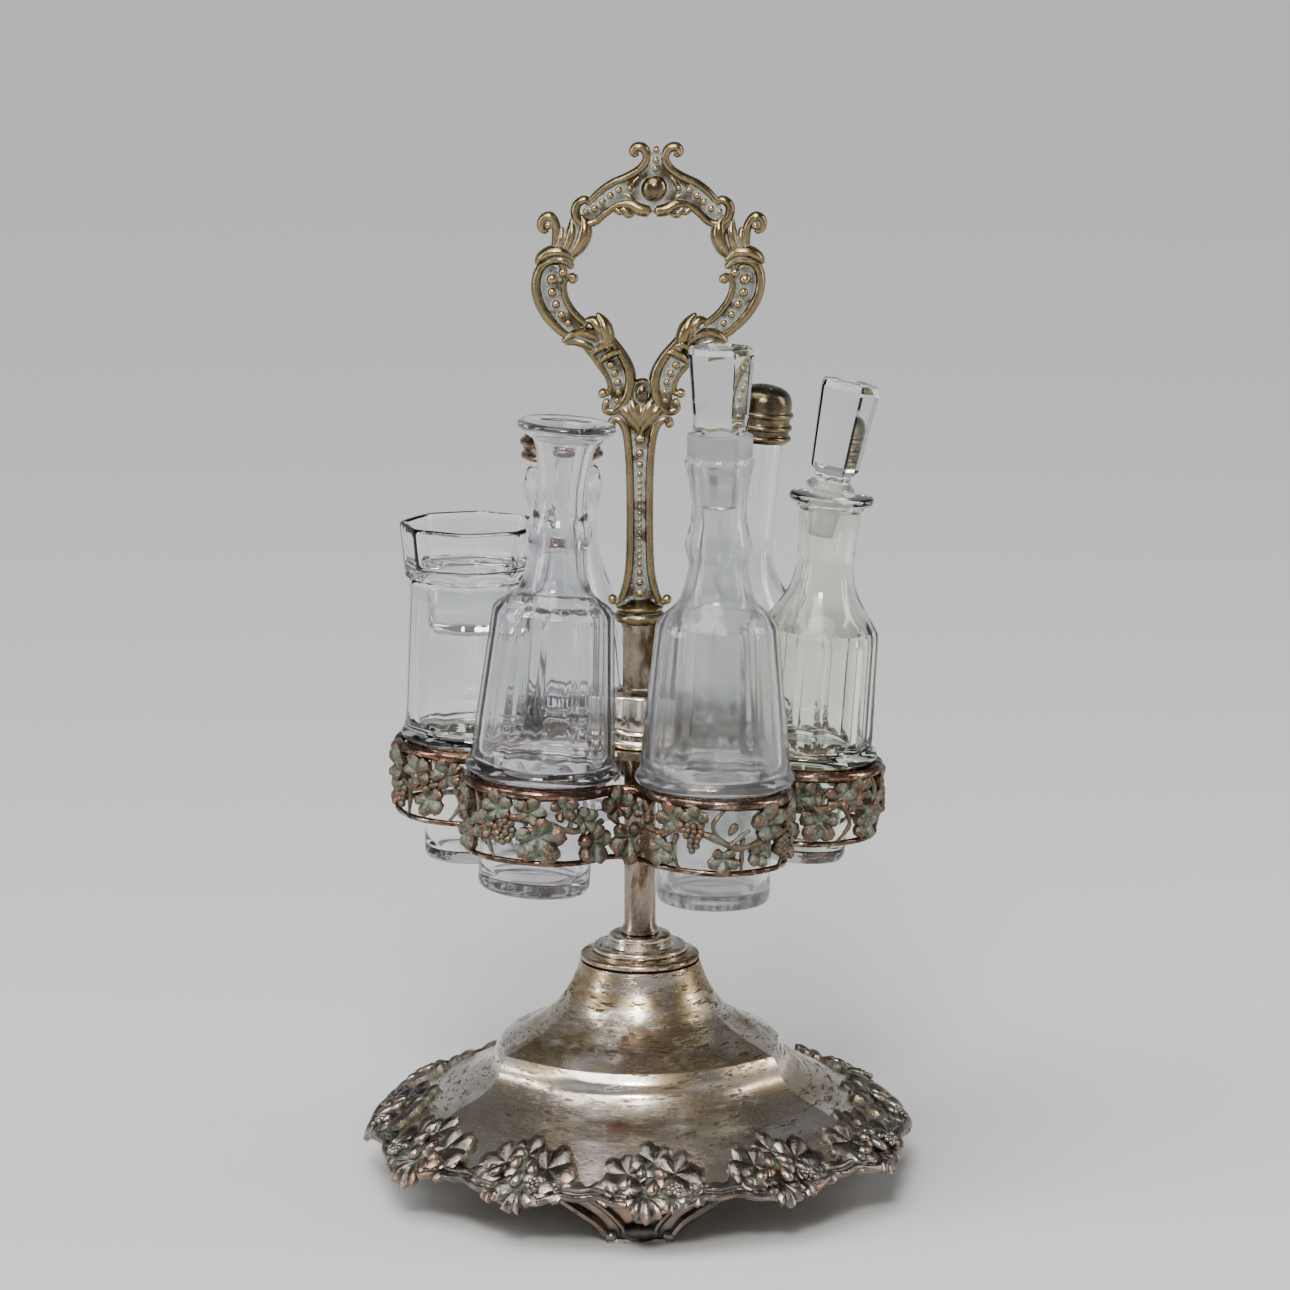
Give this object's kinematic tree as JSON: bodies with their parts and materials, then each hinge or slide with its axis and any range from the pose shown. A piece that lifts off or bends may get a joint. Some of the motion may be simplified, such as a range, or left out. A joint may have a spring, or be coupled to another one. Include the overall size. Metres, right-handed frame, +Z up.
{
  "type": "cruet set",
  "caption": "Footed metal stand with a cast carrying handle and a turning pierced carousel that holds glass condiment bottles, shakers and a lidded jar.",
  "frame": {"origin": "on the table under the stem, at the centre of the base", "axes": "+Z up along the stem, -Y to the front, +X to the right seen from the front"},
  "size_m": [0.2188, 0.2212, 0.4099],
  "materials": {
    "silver_plate": "worn satin silver plate",
    "cast_border": "dark cast plate with bright high points",
    "aged_brass": "aged cast brass",
    "worn_copper_plate": "plate worn down to copper",
    "frieze_patina": "green-grey patina",
    "rod_steel": "plain steel",
    "cork_liner": "cork",
    "clear_glass": "clear pressed glass",
    "lavender_glass": "clear glass with a faint lavender tint",
    "green_glass": "clear glass with a faint yellow-green tint",
    "hazy_glass": "clear glass gone hazy",
    "frosted_glass": "ground and faceted glass"
  },
  "bodies": {
    "stand": {"base_shell": "silver_plate", "base_border": "cast_border", "foot_front": "cast_border", "foot_left": "cast_border", "foot_right": "cast_border", "base_collar": "silver_plate", "lower_stem": "silver_plate", "thrust_collar": "rod_steel", "upper_stem": "silver_plate", "handle_collar": "aged_brass", "handle": "aged_brass", "tie_rod": "rod_steel", "rod_washer": "rod_steel", "rod_nut": "rod_steel"},
    "carousel": {"hub_drum": "silver_plate", "hub_bush": "aged_brass", "seat_spider": "silver_plate", "top_rail": "worn_copper_plate", "frieze": "frieze_patina", "bottom_rail": "worn_copper_plate"},
    "oil_bottle": {"oil_bottle": "lavender_glass"},
    "vinegar_bottle": {"vinegar_bottle": "hazy_glass"},
    "vinegar_stopper": {"vinegar_stopper": "frosted_glass"},
    "soy_bottle": {"soy_bottle": "green_glass"},
    "soy_stopper": {"soy_stopper": "frosted_glass"},
    "mustard_jar": {"mustard_jar": "clear_glass"},
    "mustard_lid": {"mustard_lid": "clear_glass"},
    "pepper_bottle": {"pepper_bottle": "clear_glass"},
    "pepper_gasket": {"pepper_gasket": "cork_liner"},
    "pepper_cap": {"pepper_cap": "aged_brass"},
    "spice_bottle": {"spice_bottle": "clear_glass"},
    "spice_gasket": {"spice_gasket": "cork_liner"},
    "spice_cap": {"spice_cap": "worn_copper_plate"}
  },
  "joints": [
    {"name": "carousel_turn", "type": "hinge", "parent": "stand", "child": "carousel", "pos_m": [0, 0, 0.186], "axis": [0.0419, 0.0105, 0.9991], "continuous": true},
    {"name": "oil_bottle_lift", "type": "slide", "parent": "carousel", "child": "oil_bottle", "axis": [0.075, 0.0105, 0.9971], "range_m": [0, 0.11]},
    {"name": "vinegar_bottle_lift", "type": "slide", "parent": "carousel", "child": "vinegar_bottle", "axis": [0.0122, 0.0105, 0.9999], "range_m": [0, 0.11]},
    {"name": "vinegar_stopper_lift", "type": "slide", "parent": "vinegar_bottle", "child": "vinegar_stopper", "axis": [0.0122, 0.0105, 0.9999], "range_m": [0, 0.04]},
    {"name": "soy_bottle_lift", "type": "slide", "parent": "carousel", "child": "soy_bottle", "axis": [0.0872, 0.0105, 0.9961], "range_m": [0, 0.1]},
    {"name": "soy_stopper_lift", "type": "slide", "parent": "soy_bottle", "child": "soy_stopper", "axis": [0.1908, 0.0104, 0.9816], "range_m": [0, 0.035]},
    {"name": "mustard_jar_lift", "type": "slide", "parent": "carousel", "child": "mustard_jar", "axis": [0.0087, 0.0105, 0.9999], "range_m": [0, 0.065]},
    {"name": "mustard_lid_lift", "type": "slide", "parent": "mustard_jar", "child": "mustard_lid", "axis": [0.0087, 0.0105, 0.9999], "range_m": [0, 0.03]},
    {"name": "pepper_bottle_lift", "type": "slide", "parent": "carousel", "child": "pepper_bottle", "axis": [0.0993, 0.0105, 0.995], "range_m": [0, 0.1]},
    {"name": "spice_bottle_lift", "type": "slide", "parent": "carousel", "child": "spice_bottle", "axis": [-0.0175, 0.0105, 0.9998], "range_m": [0, 0.1]},
    {"name": "pepper_cap_rise", "type": "slide", "parent": "pepper_bottle", "child": "pepper_gasket", "axis": [0.0993, 0.0105, 0.995], "range_m": [0, 0.01051]},
    {"name": "pepper_cap_turn", "type": "hinge", "parent": "pepper_gasket", "child": "pepper_cap", "pos_m": [0.03644, 0.05461, 0.17408], "axis": [0.0993, 0.0105, 0.995], "range_deg": [0, 1260]},
    {"name": "spice_cap_rise", "type": "slide", "parent": "spice_bottle", "child": "spice_gasket", "axis": [-0.0175, 0.0105, 0.9998], "range_m": [0, 0.01051]},
    {"name": "spice_cap_turn", "type": "hinge", "parent": "spice_gasket", "child": "spice_cap", "pos_m": [-0.02934, 0.05921, 0.17684], "axis": [-0.0175, 0.0105, 0.9998], "range_deg": [0, 1260]}
  ],
  "couplings": [
    {"joint": "pepper_cap_rise", "follows": "pepper_cap_turn", "m_per_rad": 0.0004775},
    {"joint": "spice_cap_rise", "follows": "spice_cap_turn", "m_per_rad": 0.0004775}
  ]
}
